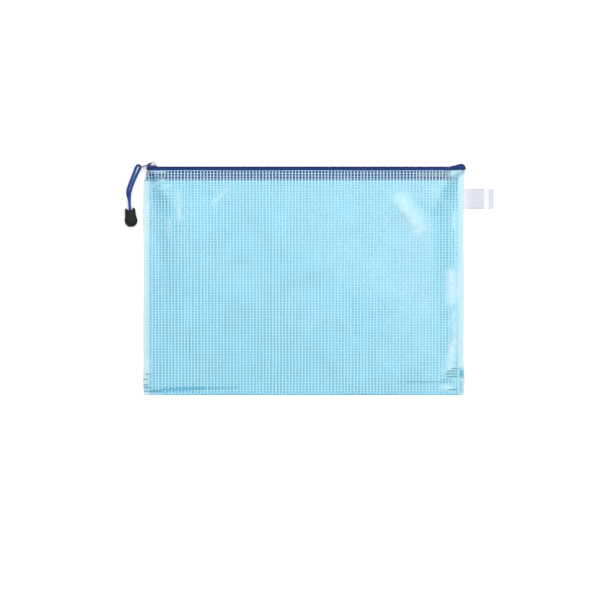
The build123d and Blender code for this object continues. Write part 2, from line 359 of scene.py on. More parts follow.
def closed_sheet(name, points, thickness):
    """A closed sheet from a grid of points on its outer face, with the thickness laid on behind that face."""
    rows, columns = points.shape[:2]
    count = rows * columns
    normal = np.cross(np.gradient(points, axis=1), np.gradient(points, axis=0))
    normal /= np.linalg.norm(normal, axis=2, keepdims=True)
    vertices = np.concatenate([points.reshape(-1, 3), (points - normal * thickness).reshape(-1, 3)])
    index = np.arange(count).reshape(rows, columns)
    a, b, c, d = index[:-1, :-1], index[:-1, 1:], index[1:, 1:], index[1:, :-1]
    rim = np.concatenate([index[0], index[1:, -1], index[-1, -2::-1], index[-2:0:-1, 0]])
    faces = [
        np.stack([a, b, c, d], 2).reshape(-1, 4),
        np.stack([a, d, c, b], 2).reshape(-1, 4) + count,
        np.stack([rim, rim + count, np.roll(rim, -1) + count, np.roll(rim, -1)], 1),
    ]
    return add_piece(name, vertices, np.concatenate(faces))


def fold_rows(start, end, count, shares):
    """Rows of points round the bottom fold, from start to end, in degrees from +Y towards +Z."""
    x = shares * film_edge(fold_y, np.sign(shares))
    rows = []
    for angle in np.radians(np.linspace(start, end, count)):
        y = fold_y + fold_radius * math.cos(angle)
        z = fold_radius + fold_radius * math.sin(angle)
        rows.append(point_row(x, y, z))
    return rows


def add_mark(mesh, name, values, kind="FLOAT", part="POINT"):
    """Give each point or edge of a mesh a value under a name."""
    mesh.attributes.new(name, kind, part).data.foreach_set("value", values)


def film_panel(name, left, right, front):
    """Part of a panel between two shares of the half-width, from -1 to 1, with its share of the fold."""
    step, side_step = (grid_step, fine_step) if front else (flat_step, flat_step / 2)
    inner = (max(left, side_start - 1), min(right, 1 - side_start))
    shares = np.linspace(*inner, round((inner[1] - inner[0]) * half_width / step) + 1)
    outer = np.linspace(1 - side_start, 1, round(side_start * half_width / side_step) + 1)[1:]
    if left == -1:
        shares = np.append(-outer[::-1], shares)
    if right == 1:
        shares = np.append(shares, outer)
    low = np.linspace(fold_y, fine_top, round((fine_top - fold_y) / side_step), endpoint=False)
    heights = np.append(low, np.linspace(fine_top, film_top, round((film_top - fine_top) / step)))
    rows = []
    for y in heights:
        x = shares * film_edge(y, np.sign(shares))
        rows.append(point_row(x, y, front_lift(x, y) if front else 0.0))
    fold = (front_fold_end, 90, 9) if front else (back_fold_start, 270, 7)
    points = np.array(fold_rows(*fold, shares)[:-1] + rows)
    panel = closed_sheet(name, points if front else points[:, ::-1], film)
    places = np.array([v.co for v in panel.data.vertices])
    # The narrow creases, whose lines are painted dark as shade
    lines = [(a, b, width, 1.0) for a, b, width, _ in creases if width < narrow]
    # Each film point is marked by the pressed patches (painted shade), the milky patches (painted highlight)
    # and the narrow creases (painted shade)
    for mark, listed in (("pressed_shade_patches", pressed_shade_patches), ("painted_highlights", painted_highlights), ("crease_shade_mark", lines)):
        felt = patches(places[:, 0], places[:, 1], listed if front else [])
        add_mark(panel.data, mark, felt.astype(np.float32))
    return panel


def new_group(name, kind, inputs, output):
    """An empty node group, its sockets named with their types, and the sockets that bring its inputs in."""
    group = bpy.data.node_groups.new(name, kind)
    sockets = [(*socket, "INPUT") for socket in inputs.items()] + [(*output, "OUTPUT")]
    for socket_name, socket_type, way in sockets:
        group.interface.new_socket(socket_name, in_out=way, socket_type="NodeSocket" + socket_type)
    return group, add_node(group, "NodeGroupInput").outputs


mottle, given = new_group(
    "mottle",
    "ShaderNodeTree",
    {"Coordinate": "Vector", "Scale": "Float", "Low": "Float", "High": "Float"},
    ("Value", "Float"),
)
noise = {"Vector": given["Coordinate"], "Scale": given["Scale"], "Detail": 3.0}
cloud = flow(mottle, "ShaderNodeTexNoise", noise)
spread = step_over(mottle, cloud, 0.3, 0.7, given["Low"], given["High"])
add_node(mottle, "NodeGroupOutput", {"Value": spread})


def new_finish(name):
    """A new material, its empty tree, and the socket with a piece's own places."""
    finish = bpy.data.materials.new(name)
    tree = bare_tree(finish)
    return finish, tree, add_node(tree, "ShaderNodeTexCoord").outputs["Object"]


def shade(tree, inputs):
    """End a material in a Principled shader with these values and links."""
    shader = flow(tree, "ShaderNodeBsdfPrincipled", inputs)
    add_node(tree, "ShaderNodeOutputMaterial", {"Surface": shader})


def add_mottle(tree, own, scale, low, high):
    """A slow change of value over the surface, from low to high."""
    values = {"Coordinate": own, "Scale": scale, "Low": low, "High": high}
    return flow(tree, "ShaderNodeGroup", values, node_tree=mottle)


def mix_colour(tree, share, first, second):
    """A colour between two, by a share from 0 to 1."""
    return add_node(tree, "ShaderNodeMix", {0: share, 6: first, 7: second}, data_type="RGBA").outputs[2]


def add_bump(tree, height, strength, depth):
    """The normal of a relief, from its height."""
    return flow(tree, "ShaderNodeBump", {"Strength": strength, "Distance": depth, "Height": height})


def axes(tree, places):
    """The X, Y and Z of places."""
    return add_node(tree, "ShaderNodeSeparateXYZ", {0: places}).outputs


def mark_on(tree, mark):
    """A mark of the piece's own mesh, from 0 to 1."""
    return add_node(tree, "ShaderNodeAttribute", attribute_name=mark).outputs["Fac"]


film_finish, tree, own = new_finish("blue_mesh_film")
place = axes(tree, own)
weld_start = half_width - seam_band
from_middle = calc(tree, "ABSOLUTE", place["X"])
welded = step_over(tree, from_middle, weld_start - weld_blur, weld_start + weld_blur)
on_tape = step_over(tree, place["Y"], *tape_line)
over_tape = step_over(tree, place["X"], tape_right - tape_end_blur, tape_right + tape_end_blur, on_tape, 0.0)
# Pale painted highlight where the film is marked milky
highlight_share = calc(
    tree, "MULTIPLY", mark_on(tree, "painted_highlights"), add_mottle(tree, own, 160.0, 0.80, 1.20), use_clamp=True
)
# Dark painted shade where the film is marked pressed, along the bottom fold and a few short lines
pressed_shade = mark_on(tree, "pressed_shade_patches")
# Dark painted shade along the narrow creases
crease_shade_share = mark_on(tree, "crease_shade_mark")
cloudy = add_mottle(tree, own, 40.0, 0.85, 1.15)
colour = flow(tree, "ShaderNodeVectorMath", {0: film_colour, "Scale": cloudy}, operation="SCALE")
alpha = film_alpha
for share, (zone_colour, zone_alpha) in (
    (welded, welded_film),
    (over_tape, film_on_tape),
    (highlight_share, painted_highlight_film),
    (pressed_shade, pressed_shade_film),
    (crease_shade_share, crease_shade_film),
):
    colour = mix_colour(tree, share, colour, zone_colour)
    alpha = step_over(tree, share, 0.0, 1.0, alpha, zone_alpha)
dulled = welded
for share in (pressed_shade, crease_shade_share, highlight_share):
    dulled = calc(tree, "MAXIMUM", dulled, share)
gloss = step_over(tree, dulled, 0.0, 1.0, add_mottle(tree, own, 60.0, 0.27, 0.36), weld_roughness)
ripple = flow(tree, "ShaderNodeTexNoise", {"Vector": own, "Scale": 220.0, "Detail": 2.0})
film_look = {
    "Base Color": colour,
    "Alpha": alpha,
    "Roughness": gloss,
    "Specular IOR Level": 1.0,
    "Coat Weight": step_over(tree, dulled, 0.0, 1.0, 1.0, 0.0),
    "Coat Roughness": 0.24,
    "Normal": add_bump(tree, ripple, 0.06, 0.3 * mm),
}
shade(tree, film_look)

closed_left = (-half_width, 0, 0)
closed_right = (146 * mm, 0, 0)


def dress(pieces, finish):
    """Give pieces their finish."""
    for piece in pieces:
        piece.data.materials.append(finish)


def gape(left_piece, right_piece, *nodes):
    """Fix both halves of a front piece in their places, and hide the CAD pieces that they stand in for, if
    any are given.
    """
    for piece, shut in ((left_piece, closed_left), (right_piece, closed_right)):
        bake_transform(piece)
        if nodes:
            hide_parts(*nodes)


back_film = film_panel("back_film", -1, 1, False)
front_film_left = film_panel("front_film_left", -1, parting_x / half_width, True)
front_film_right = film_panel("front_film_right", parting_x / half_width, 1, True)
dress((back_film, front_film_left, front_film_right), film_finish)
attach(back_film, "back")
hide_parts("back_panel")
gape(front_film_left, front_film_right, "front_panel")


# Yarn mesh: pale polyester yarns, crossed and pressed into the film while it is warm, so that they stand a
# little proud of it. The warp runs from the fold to the zip, and the thinner weft from side to side.
warp_pitch = 3.41 * mm
weft_pitch = 2.8 * mm
weft_start = -0.9 * mm
tape_slim = 0.70
yarn_proud = 0.1 * mm
yarn_inset = 0.9 * mm
top_inset = 0.3 * mm
yarn_sink = 0.4 * mm
weld_fade = 1.5 * mm
pressed_sink = 0.9
# How deep the yarns sink under the milky painted highlights, and how strongly a patch sinks them
highlight_sink = 0.85
highlight_gain = 1.4
back_stretch = 1.012
back_skew = math.radians(0.35)
front_wander = 0.12 * mm
back_wander = 0.3 * mm
wander_lengths = (17 * mm, 21 * mm)
yarn_colour = (0.49, 0.86, 1.00, 1)
yarn_shade = (0.42, 0.80, 0.97, 1)
tape_yarn = (0.52, 0.78, 0.99, 1)
dye_line = (tape_low - 0.5 * mm, tape_low + 1 * mm)


def yarn_lie(x, y, front):
    """Height of a yarn's middle: proud of the film, or sunk into it where it is welded, pressed or under a
    milky painted highlight.
    """
    in_weld = np.clip((abs(x) - film_edge(y, np.sign(x)) + seam_band) / weld_fade, 0, 1) * (y < tape_low)
    if not front:
        return film / 2 + 0.5 * yarn_sink * in_weld
    in_highlight = min(highlight_sink, highlight_gain * float(patches(x, y, painted_highlights)))
    sunk = max(in_weld, in_highlight, pressed_sink * float(patches(x, y, pressed_shade_patches)))
    return float(front_lift(x, y)) - film / 2 + yarn_proud - (0.5 * yarn_sink + yarn_proud) * sunk


def yarn_lines(name, left, right, front, shared=None):
    """Mesh lines of the crossed yarns between two places along the bag, each edge marked as warp or weft.

    The warp of the shared column is left to the neighbouring piece.
    """
    columns = range(math.ceil(left / warp_pitch - 0.5), math.floor(right / warp_pitch - 0.5) + 1)
    wander = front_wander if front else back_wander
    chance = np.random.default_rng(7 if front else 8)
    phases = chance.uniform(0, 2 * math.pi, (400, 2))
    shifts = chance.normal(0, 0.5, (400, 2))
    lowest = math.ceil((fold_y - weft_start) / weft_pitch)
    highest = math.ceil((film_top - weft_start) / weft_pitch)
    index = {}
    vertices = []
    over = []
    slim = []
    for i in columns:
        for j in range(lowest, highest + 1):
            x = (i + 0.5) * warp_pitch
            y = weft_start + j * weft_pitch
            if not front:
                x, y = x * back_stretch - y * back_skew, y * back_stretch + x * back_skew
            x, y = (
                x + wander * (shifts[i + 100, 0] + math.sin(y / wander_lengths[0] + phases[i + 100, 0])),
                y + wander * (shifts[j + 100, 1] + math.sin(x / wander_lengths[1] + phases[j + 100, 1])),
            )
            if abs(x) > film_edge(y, np.sign(x)) - yarn_inset or not fold_y < y < film_top - top_inset:
                continue
            index[i, j] = len(vertices)
            vertices.append((x, y, yarn_lie(x, y, front)))
            over.append(1.0 if (i + j) % 2 else -1.0)
            slim.append(tape_slim if y > tape_low else 1.0)
    warp = [(a, index[i, j + 1]) for (i, j), a in index.items() if (i, j + 1) in index and i != shared]
    weft = []
    for (i, j), a in index.items():
        if (i + 1, j) not in index:
            continue
        stops = [a, index[i + 1, j]]
        (x0, y0, _), (x1, y1, _) = vertices[a], vertices[stops[1]]
        if front and y0 > tape_low - ramp_run and abs(x0) > half_width - side_ramp:
            for share in (0.25, 0.5, 0.75):
                x, y = x0 + (x1 - x0) * share, y0 + (y1 - y0) * share
                stops.insert(-1, len(vertices))
                vertices.append((x, y, yarn_lie(x, y, front)))
                over.append(over[a] * (1 - 2 * share))
                slim.append(slim[a])
        weft += list(zip(stops[:-1], stops[1:]))
    mesh = bpy.data.meshes.new(name)
    mesh.from_pydata(vertices, warp + weft, [])
    add_mark(mesh, "over", over)
    add_mark(mesh, "slim", slim)
    add_mark(mesh, "warp", [True] * len(warp) + [False] * len(weft), "BOOLEAN", "EDGE")
    return placed(name, mesh)


def end_group(group, shape, finish, output):
    """Close a tree of shapes: its copies made real, its faces smooth and its material set."""
    real = flow(group, "GeometryNodeRealizeInstances", {"Geometry": shape})
    soft = flow(group, "GeometryNodeSetShadeSmooth", {"Geometry": real})
    finished = flow(group, "GeometryNodeSetMaterial", {"Geometry": soft, "Material": finish})
    add_node(group, "NodeGroupOutput", {output: finished})


sizes = dict.fromkeys(("Warp Width", "Weft Width", "Yarn Height", "Relief", "Warp Rise"), "Float")
weaving, given = new_group(
    "crossed_yarns",
    "GeometryNodeTree",
    {"Lines": "Geometry"} | sizes | {"Sides": "Int", "Finish": "Material"},
    ("Yarns", "Geometry"),
)
is_warp, over, slim = [
    add_node(weaving, "GeometryNodeInputNamedAttribute", {"Name": mark}, data_type=kind).outputs["Attribute"]
    for mark, kind in (("warp", "BOOLEAN"), ("over", "FLOAT"), ("slim", "FLOAT"))
]
is_weft = flow(weaving, "FunctionNodeBooleanMath", {0: is_warp}, operation="NOT")
raised = calc(weaving, "ADD", calc(weaving, "MULTIPLY", over, given["Relief"]), given["Warp Rise"])
ring = flow(weaving, "GeometryNodeCurvePrimitiveCircle", {"Resolution": given["Sides"], "Radius": 0.5})
joined = add_node(weaving, "GeometryNodeJoinGeometry")
for chosen, width_name, way in ((is_warp, "Warp Width", 1.0), (is_weft, "Weft Width", -1.0)):
    lines = flow(weaving, "GeometryNodeMeshToCurve", {"Mesh": given["Lines"], "Selection": chosen})
    rise = flow(weaving, "ShaderNodeCombineXYZ", {"Z": calc(weaving, "MULTIPLY", raised, way)})
    moved = flow(weaving, "GeometryNodeSetPosition", {"Geometry": lines, "Offset": rise})
    level = flow(weaving, "GeometryNodeSetCurveNormal", {"Curve": moved}, mode="Z_UP")
    flat = {"X": given[width_name], "Y": given["Yarn Height"], "Z": 1.0}
    scale = flow(weaving, "ShaderNodeCombineXYZ", flat)
    section = flow(weaving, "GeometryNodeTransform", {"Geometry": ring, "Scale": scale})
    swept = {"Curve": level, "Profile Curve": section, "Scale": slim, "Fill Caps": True}
    weaving.links.new(flow(weaving, "GeometryNodeCurveToMesh", swept), joined.inputs[0])
end_group(weaving, joined.outputs[0], given["Finish"], "Yarns")


def made_plain(piece):
    """The plain mesh that a piece's modifiers make, in place of its own mesh."""
    depsgraph = bpy.context.evaluated_depsgraph_get()
    mesh = bpy.data.meshes.new_from_object(piece.evaluated_get(depsgraph))
    piece.modifiers.clear()
    piece.data = mesh
    return piece


def grown(piece, group, values):
    """A piece with the plain mesh that a node group grows on it."""
    modifier = piece.modifiers.new("grown", "NODES")
    modifier.node_group = group
    for item in group.interface.items_tree:
        if item.in_out == "INPUT" and item.name in values:
            modifier[item.identifier] = values[item.name]
    return made_plain(piece)


yarn_finish, tree, own = new_finish("pale_yarn")
place = axes(tree, own)
on_tape = step_over(tree, place["Y"], *dye_line)
pale = mix_colour(tree, add_mottle(tree, own, 900.0, 0.0, 1.0), yarn_shade, yarn_colour)
colour = mix_colour(tree, on_tape, pale, tape_yarn)
gloss = add_mottle(tree, own, 120.0, 0.5, 0.7)
shade(tree, {"Base Color": colour, "Roughness": gloss, "Specular IOR Level": 0.2})

yarn_sizes = {
    "Warp Width": 1.66 * mm,
    "Weft Width": 0.82 * mm,
    "Yarn Height": 0.5 * mm,
    "Relief": 0.04 * mm,
    "Warp Rise": 0.02 * mm,
    "Finish": yarn_finish,
}
front_sizes = yarn_sizes | {"Sides": 8}
back_sizes = yarn_sizes | {"Sides": 4}
between = warp_pitch / 2
back_yarns = grown(yarn_lines("back_yarns", -half_width, half_width, False), weaving, back_sizes)
front_yarns_left = grown(yarn_lines("front_yarns_left", -half_width, between, True), weaving, front_sizes)
front_yarns_right = grown(
    yarn_lines("front_yarns_right", between, half_width, True, shared=0), weaving, front_sizes
)
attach(back_yarns, "back")
gape(front_yarns_left, front_yarns_right)


# Zip tape: two woven polyester strips, each welded flat inside its panel and turned in at the top, so that
# the coils on their edges meet along the mouth. Their ends are cut to the slope of the film's corners.
tape = 0.5 * mm
turn_low, turn_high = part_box("back_tape_turn")
stop_low, stop_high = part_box("bottom_stop")
chain_z = (stop_low.z + stop_high.z) / 2
zip_left = turn_low.x
zip_right = turn_high.x
coil_bottom = turn_high.y
tape_outer = chain_z - turn_low.z
tape_edge = chain_z - turn_high.z
tape_bend = 0.9 * mm
tape_step = 0.5 * mm
tape_gap = 0.12 * mm
slope_reach = 0.1 * mm
pinch_share = 0.1
tape_inset = 2.8 * mm
pressed_tape = 0.16 * mm
tape_blue = (0.028, 0.062, 0.26, 1)
tape_thread_shade = (0.007, 0.022, 0.12, 1)
rib_pitch = 0.9 * mm
pick_pitch = 0.55 * mm

weave, given = new_group(
    "plain_weave",
    "ShaderNodeTree",
    {"Coordinate": "Vector", "Warp Pitch": "Float", "Weft Pitch": "Float"},
    ("Height", "Float"),
)
split = axes(weave, given["Coordinate"])
over_edge = calc(weave, "SUBTRACT", split["Y"], split["Z"])
rounds = []
turns = []
for run, pitch_name in ((split["X"], "Warp Pitch"), (over_edge, "Weft Pitch")):
    count = calc(weave, "DIVIDE", run, given[pitch_name])
    wave = calc(weave, "SINE", calc(weave, "MULTIPLY", count, math.pi))
    rounds.append(calc(weave, "ABSOLUTE", wave))
    turns.append(calc(weave, "FLOOR", count))
parity = calc(weave, "FLOORED_MODULO", calc(weave, "ADD", *turns), 2.0)
height = flow(weave, "ShaderNodeMix", {0: parity, 2: rounds[0], 3: rounds[1]}, data_type="FLOAT")
add_node(weave, "NodeGroupOutput", {"Height": height})


def add_weave(tree, own, warp, weft):
    """The height of a plain weave over the surface, from 0 between the threads to 1 on top of them."""
    values = {"Coordinate": own, "Warp Pitch": warp, "Weft Pitch": weft}
    return flow(tree, "ShaderNodeGroup", values, node_tree=weave)


def tape_reach(y, end):
    """How far the tape reaches towards one end at a height: into the side weld, or to the zip's own end."""
    limit = -zip_left if end < 0 else zip_right
    return end * (limit if y > film_top else film_edge(y, end) - tape_inset)


def tape_strip(name, side, left, right):
    """One tape half, or part of it: up its panel, round the bend and under the coil. Side 1 is the front."""
    profile = [(y, tape_outer) for y in np.linspace(tape_low, coil_bottom - tape_bend, 9)]
    for angle in np.radians(np.linspace(15, 90, 6)):
        y = coil_bottom - tape_bend + tape_bend * math.sin(angle)
        profile.append((y, tape_outer - tape_bend + tape_bend * math.cos(angle)))
    profile += [(coil_bottom, offset) for offset in np.linspace(tape_outer - tape_bend, tape_edge, 4)[1:]]
    rows = []
    for y, offset in profile:
        ends = max(left, tape_reach(y, -1)), min(right, tape_reach(y, 1))
        x = np.linspace(*ends, round((right - left) / tape_step))
        slope = (front_lift(x + slope_reach, y) - front_lift(x - slope_reach, y)) / (2 * slope_reach)
        cover = (film + tape_gap) * np.sqrt(1 + slope**2)
        pinched = front_lift(x, y) - cover - pinch_share * (tape_outer - offset)
        under = np.minimum(chain_z + offset, pinched)
        rows.append(point_row(x, y, under if side > 0 else chain_z - offset))
    rows = np.array(rows)
    inside = film_edge(rows[:, :, 1], np.sign(rows[:, :, 0])) - np.abs(rows[:, :, 0])
    thickness = pressed_tape + (tape - pressed_tape) * np.clip(inside / seam_band - 0.2, 0, 1)[:, :, None]
    return closed_sheet(name, rows if side > 0 else rows[:, ::-1], thickness)


tape_finish, tree, own = new_finish("woven_blue_tape")
# Between the threads the tape is painted darker as shade
ribs = add_weave(tree, own, rib_pitch, pick_pitch)
tape_look = {
    "Base Color": mix_colour(tree, ribs, tape_thread_shade, tape_blue),
    "Roughness": add_mottle(tree, own, 150.0, 0.6, 0.85),
    "Specular IOR Level": 0.06,
    "Normal": add_bump(tree, ribs, 0.6, 0.15 * mm),
}
shade(tree, tape_look)

back_tape = tape_strip("back_tape", -1, zip_left, zip_right)
front_tape_left = tape_strip("front_tape_left", 1, zip_left, 0)
front_tape_right = tape_strip("front_tape_right", 1, 0, zip_right)
dress((back_tape, front_tape_left, front_tape_right), tape_finish)
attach(back_tape, "back")
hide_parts("back_zip_tape", "back_tape_turn")
gape(front_tape_left, front_tape_right, "front_zip_tape", "front_tape_turn")


# Nylon coils: each is one nylon thread wound in flat loops round a filler cord and fixed to its tape's edge.
# The loops' heads pass each other along the middle of the mouth.
coil_low, coil_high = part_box("back_zip_coil")
coil_left = coil_low.x
coil_right = coil_high.x
coil_top = coil_high.y
coil_pitch = 1.4 * mm
coil_outer = chain_z - coil_low.z
coil_reach = coil_high.z - chain_z
head_round = 0.2 * mm
heel_bulge = 0.1 * mm
thread_radius = 0.28 * mm
thread_sides = 6
filler_radius = 0.3 * mm
filler_sides = 8
filler_place = 0.6
coil_colour = (0.030, 0.050, 0.24, 1)
coil_shade = (0.012, 0.024, 0.14, 1)


def ring_faces(rings, sides):
    """Faces between rings of as many points each, with both ends closed."""
    faces = []
    for ring in range(rings - 1):
        for k in range(sides):
            a = ring * sides + k
            b = ring * sides + (k + 1) % sides
            faces.append((a, b, b + sides, a + sides))
    faces.append(tuple(reversed(range(sides))))
    faces.append(tuple(range((rings - 1) * sides, rings * sides)))
    return faces


def tube(path, radius, sides):
    """Vertices and faces of a round tube along a path of points."""
    path = np.array(path, float)
    along = np.gradient(path, axis=0)
    along /= np.linalg.norm(along, axis=1, keepdims=True)
    first = np.cross(along[0], (0, 0, 1) if abs(along[0][2]) < 0.9 else (1, 0, 0))
    vertices = []
    for point, way in zip(path, along):
        first = first - way * (first @ way)
        first /= np.linalg.norm(first)
        second = np.cross(way, first)
        for angle in np.linspace(0, 2 * math.pi, sides, endpoint=False):
            vertices.append(point + radius * (math.cos(angle) * first + math.sin(angle) * second))
    return vertices, ring_faces(len(path), sides)


def coil_loop(side):
    """One loop of the coil, from its lower leg round its head and back along its upper leg to the next."""
    low = coil_bottom + thread_radius
    high = coil_top - thread_radius
    middle = (low + high) / 2
    head = coil_reach - thread_radius
    back = coil_outer - thread_radius
    route = [
        (0.0, low, back),
        (0.0, low, back * 0.5),
        (0.5, low, 0.0),
        (1.0, low + head_round, -head * 0.8),
        (1.5, middle, -head),
        (2.0, high - head_round, -head * 0.8),
        (2.5, high, 0.0),
        (3.5, high, back * 0.5),
        (5.0, high, back * 0.9),
        (6.5, middle, back + heel_bulge),
        (8.0, low, back),
    ]
    points = [((k - 1.5) * coil_pitch / 8, y, chain_z + side * offset) for k, y, offset in route]
    return tube(points, thread_radius, thread_sides)


looping, given = new_group(
    "row_of_loops",
    "GeometryNodeTree",
    {"Loop": "Geometry", "Count": "Int", "First": "Float", "Pitch": "Float", "Finish": "Material"},
    ("Row", "Geometry"),
)
start_at = flow(looping, "ShaderNodeCombineXYZ", {"X": given["First"]})
step_by = flow(looping, "ShaderNodeCombineXYZ", {"X": given["Pitch"]})
row_line = {"Count": given["Count"], "Start Location": start_at, "Offset": step_by}
places = flow(looping, "GeometryNodeMeshLine", row_line)
copies = flow(looping, "GeometryNodeInstanceOnPoints", {"Points": places, "Instance": given["Loop"]})
end_group(looping, copies, given["Finish"], "Row")


def mottled_look(tree, own, colours, grain, gloss, gloss_grain):
    """A look that drifts between two colours and between two levels of roughness, each at its own scale."""
    tone = add_mottle(tree, own, grain, 0.0, 1.0)
    return {
        "Base Color": mix_colour(tree, tone, *colours),
        "Roughness": add_mottle(tree, own, gloss_grain, *gloss),
    }


def mottled_finish(name, fixed, *drift):
    """A material with a mottled look and these fixed values."""
    finish, tree, own = new_finish(name)
    shade(tree, mottled_look(tree, own, *drift) | fixed)
    return finish


coil_tones = (coil_shade, coil_colour)
coil_finish = mottled_finish(
    "blue_nylon_coil", {"Specular IOR Level": 0.25}, coil_tones, 700.0, (0.35, 0.5), 300.0
)
filler_finish, tree, own = new_finish("twisted_filler")
twist = add_node(tree, "ShaderNodeTexWave", {"Vector": own, "Scale": 600.0, "Distortion": 1.0})
# The twist's grooves are painted darker as shade
colour = mix_colour(tree, twist.outputs["Fac"], tape_thread_shade, tape_blue)
shade(tree, {"Base Color": colour, "Roughness": 0.85, "Specular IOR Level": 0.15})


def coil_row(name, side, first, count):
    """A run of loops with the filler cord inside them, as one piece with two finishes."""
    values = {"Count": count, "First": first, "Pitch": coil_pitch, "Finish": coil_finish}
    row = grown(add_piece(name, *coil_loop(side)), looping, values)
    middle = (coil_bottom + coil_top) / 2
    ends = (first - coil_pitch / 2, first + coil_pitch * (count - 0.5))
    depth = chain_z + side * coil_outer * filler_place
    path = [(x, middle, depth) for x in np.linspace(*ends, count + 1)]
    filler = add_piece(name + "_filler", *tube(path, filler_radius, filler_sides))
    mesh = bmesh.new()
    mesh.from_mesh(row.data)
    loops = len(mesh.faces)
    mesh.from_mesh(filler.data)
    mesh.faces.ensure_lookup_table()
    for face in mesh.faces[loops:]:
        face.material_index = 1
    mesh.to_mesh(row.data)
    mesh.free()
    bpy.data.objects.remove(filler)
    dress([row], filler_finish)
    return row


loop_count = int((coil_right - coil_left) / coil_pitch)
back_first = coil_left + 0.25 * coil_pitch
front_first = coil_left + 0.75 * coil_pitch
left_count = math.ceil((0 - front_first) / coil_pitch)
right_first = front_first + left_count * coil_pitch
back_coil = coil_row("back_coil", -1, back_first, loop_count)
front_coil_left = coil_row("front_coil_left", 1, front_first, left_count)
front_coil_right = coil_row("front_coil_right", 1, right_first, loop_count - left_count)
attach(back_coil, "back")
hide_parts("back_zip_coil", "back_filler_cord")
gape(front_coil_left, front_coil_right, "front_zip_coil", "front_filler_cord")


# Stops and tape end: small moulded nylon blocks pressed on at both ends of the coils, and past the right one
# the tape's end, folded over itself and welded into a rounded lump.
stop_bevel = 0.2 * mm
# Tape end: its top outline from left to right, then its floor and its depth to each side
outline_x = np.array([153.9, 156.5, 159.2, 162.0, 164.4, 166.4, 167.8, 168.8, 169.3, 169.5]) * mm
outline_y = np.array([121.9, 122.4, 123.1, 124.0, 124.5, 124.1, 123.1, 121.6, 119.9, 118.9]) * mm
lump_floor = 117.6 * mm
lump_depth = 4.1 * mm
lump_round = 3 * mm
lump_height_power = 0.55
lump_depth_power = 0.7
lump_rings = 44
lump_sides = 40
# Folded flap on the lump's front: where its edge starts, how steeply it climbs, and its step
flap_start = 156 * mm
flap_rise = 1.2 * mm
flap_slope = 0.35
flap_edge = 0.5 * mm
flap_depth = 0.55 * mm


def fuller(share, power):
    """A sine or cosine drawn towards its ends, for an outline between round and square."""
    return math.copysign(abs(share) ** power, share)


def eased(piece, width, angle, harden):
    """A piece with its edges eased where its faces turn by more than an angle in degrees."""
    bevel = piece.modifiers.new("eased", "BEVEL")
    bevel.width = width
    bevel.segments = 3
    bevel.limit_method = "ANGLE"
    bevel.angle_limit = math.radians(angle)
    bevel.harden_normals = harden
    return made_plain(piece)


def softened(node, name, width):
    """A copy of a CAD piece with its edges eased, in the place of that piece."""
    piece = placed(name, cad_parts[node].data.copy())
    mesh = bmesh.new()
    mesh.from_mesh(piece.data)
    bmesh.ops.remove_doubles(mesh, verts=mesh.verts, dist=1e-6)
    bmesh.ops.dissolve_limit(mesh, angle_limit=math.radians(2), verts=mesh.verts, edges=mesh.edges)
    mesh.to_mesh(piece.data)
    mesh.free()
    piece.data.shade_smooth()
    eased(piece, width, 35, True)
    piece.data.materials.clear()
    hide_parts(node)
    return piece


stop_finish = mottled_finish("moulded_stop", {}, coil_tones, 500.0, (0.3, 0.45), 400.0)
for node in ("back_top_stop", "front_top_stop", "bottom_stop"):
    piece = softened(node, node + "_moulded", stop_bevel)
    dress([piece], stop_finish)
    if node == "front_top_stop":
        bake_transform(piece)
    else:
        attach(piece, "back")

lump_left, lump_right = outline_x[0], outline_x[-1]
lump_points = []
for x in lump_left + (lump_right - lump_left) * np.sin(np.linspace(0, math.pi / 2, lump_rings)):
    top = np.interp(x, outline_x, outline_y)
    end_share = np.clip((lump_right - x) / lump_round, 0, 1)
    rounding = math.sqrt(1 - (1 - end_share) ** 2) * 0.9 + 0.1
    half = (top - lump_floor) / 2 * (0.4 + 0.6 * rounding)
    for angle in np.linspace(0, 2 * math.pi, lump_sides, endpoint=False):
        rise = fuller(math.cos(angle), lump_depth_power)
        y = top - half + half * fuller(math.sin(angle), lump_height_power)
        flap = np.clip((y - lump_floor - flap_rise - flap_slope * (x - flap_start)) / flap_edge, 0, 1)
        z = chain_z + lump_depth * rounding * rise - flap_depth * flap * (rise > 0) * end_share * rise
        lump_points.append((x, y, z))
lump_faces = [face[::-1] for face in ring_faces(lump_rings, lump_sides)]
tape_end = add_piece("folded_tape_end", lump_points, lump_faces)
dress([tape_end], tape_finish)
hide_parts("zip_end_tab")
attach(tape_end, "back")


# Slider: a die-cast body sprayed blue, with a bridge on its top plate: a sprayed ramp at the left, and a
# bright steel ring at the right. A wire link hangs in the ring.
slider_bevel = 0.18 * mm
bridge_bevel = 0.2 * mm
paint_blue = (0.010, 0.030, 0.21, 1)
paint_deep = (0.004, 0.016, 0.13, 1)
steel = (0.17, 0.19, 0.27, 1)
steel_shade = (0.09, 0.10, 0.17, 1)
wire_steel = (0.16, 0.17, 0.20, 1)
wire_shade = (0.08, 0.09, 0.11, 1)
bridge_low, bridge_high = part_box("slider_bridge")
plate_top = bridge_low.y
foot = plate_top - 0.2 * mm
inner_foot = plate_top - 0.1 * mm
ring_top = bridge_high.y
ring_right = bridge_high.x
ring_left = bridge_low.x + 0.9 * mm
ring_wall = 0.7 * mm
ring_lap = 0.25 * mm
ring_power = 0.9
shoulder = 0.35
ramp_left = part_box("slider_body")[0].x + 0.1 * mm
bridge_half = (bridge_high.z - bridge_low.z) / 2
ramp_outline = [
    (ramp_left, foot),
    (ring_left + ring_lap, foot),
    (ring_left + ring_lap, ring_top - 1.2 * mm),
    (ring_left - 0.1 * mm, ring_top - 0.9 * mm),
    (ring_left - 0.7 * mm, ring_top - 1 * mm),
    (ramp_left + 0.1 * mm, plate_top + 0.6 * mm),
]

paint_finish = mottled_finish(
    "blue_sprayed_zinc", {"Specular IOR Level": 0.3}, (paint_deep, paint_blue), 250.0, (0.22, 0.4), 500.0
)
slider_body = softened("slider_body", "slider_casting", slider_bevel)
dress([slider_body], paint_finish)
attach(slider_body, "slider")


